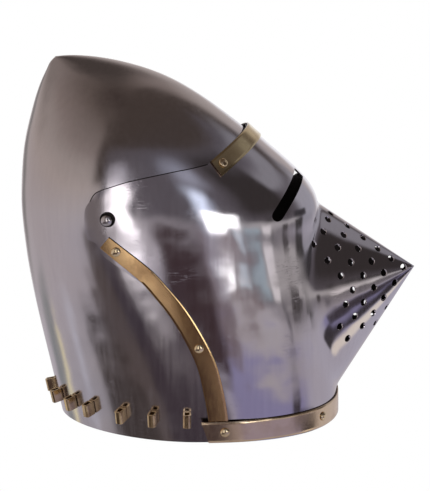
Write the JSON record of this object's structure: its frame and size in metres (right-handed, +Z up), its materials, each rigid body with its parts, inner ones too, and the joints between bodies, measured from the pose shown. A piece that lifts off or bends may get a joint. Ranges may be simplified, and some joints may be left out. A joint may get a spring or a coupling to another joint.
{
  "type": "visored bascinet helmet",
  "caption": "Pointed steel helmet with a conical snouted visor on side pivots, eye slits, breath holes, brass edge strips and brass vervelles round the rear rim.",
  "frame": {"origin": "on the plane of the rim, under the middle of the length and of the width", "axes": "+X the way the face looks, +Y the wearer's left, +Z up"},
  "size_m": [0.3509, 0.221, 0.319],
  "materials": {
    "skull_steel": "polished with faint upright grinding marks, brown tint towards the top",
    "visor_steel": "polished, brighter than the skull",
    "stud_steel": "polished",
    "strip_brass": "polished, aged",
    "rivet_brass": "polished",
    "vervelle_brass": "satin, aged"
  },
  "bodies": {
    "skull": {"skull": "skull_steel", "pivot_stud_right": "stud_steel", "pivot_stud_left": "stud_steel", "vervelle_01": "vervelle_brass", "vervelle_02": "vervelle_brass", "vervelle_03": "vervelle_brass", "vervelle_04": "vervelle_brass", "vervelle_05": "vervelle_brass", "vervelle_06": "vervelle_brass", "vervelle_07": "vervelle_brass", "vervelle_08": "vervelle_brass", "vervelle_09": "vervelle_brass", "vervelle_10": "vervelle_brass", "vervelle_11": "vervelle_brass", "vervelle_12": "vervelle_brass", "vervelle_13": "vervelle_brass"},
    "visor": {"visor": "visor_steel", "brow_strip": "strip_brass", "side_strip_right": "strip_brass", "side_strip_left": "strip_brass", "chin_band": "strip_brass", "brow_rivet_right": "rivet_brass", "brow_rivet_left": "rivet_brass", "side_rivet_upper_right": "rivet_brass", "side_rivet_upper_left": "rivet_brass", "side_rivet_lower_right": "rivet_brass", "side_rivet_lower_left": "rivet_brass", "chin_rivet_rear_right": "rivet_brass", "chin_rivet_rear_left": "rivet_brass", "chin_rivet_front_right": "rivet_brass", "chin_rivet_front_left": "rivet_brass"}
  },
  "joints": [
    {"name": "visor_pivot", "type": "hinge", "parent": "skull", "child": "visor", "pos_m": [-0.0918, 0, 0.1897], "axis": [0, -1, 0], "range_deg": [0, 60]}
  ]
}
